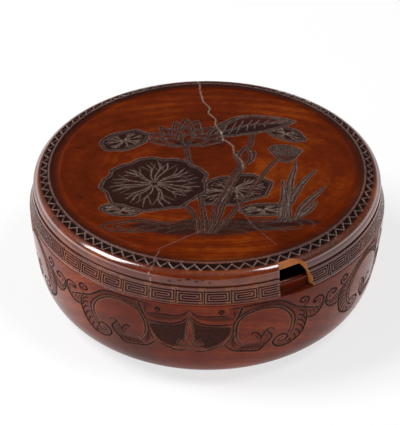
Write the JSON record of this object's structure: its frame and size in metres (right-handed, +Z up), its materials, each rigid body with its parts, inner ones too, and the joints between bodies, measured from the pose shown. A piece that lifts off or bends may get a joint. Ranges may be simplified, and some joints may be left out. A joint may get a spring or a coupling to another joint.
{
  "type": "round lidded box",
  "caption": "Round turned wooden box with a bellied base, a low foot ring and a carved lid that lifts off an upstanding rim; the lid's skirt has a notch.",
  "frame": {"origin": "on the surface it stands on, under the middle of the foot ring", "axes": "+Z up along the turning axis; -Y towards the notch in the lid's skirt; +X to the right seen from the notch"},
  "size_m": [0.28, 0.28, 0.1088],
  "materials": {
    "base_wood": "polished red-brown hardwood with dark stain in the carving",
    "lid_wood": "polished red-brown hardwood with dark stain in the carving"
  },
  "bodies": {
    "base": {"base": "base_wood"},
    "lid": {"lid": "lid_wood"}
  },
  "joints": [
    {"name": "lid_lift", "type": "slide", "parent": "base", "child": "lid", "axis": [0, 0, 1], "range_m": [0, 0.12]}
  ]
}
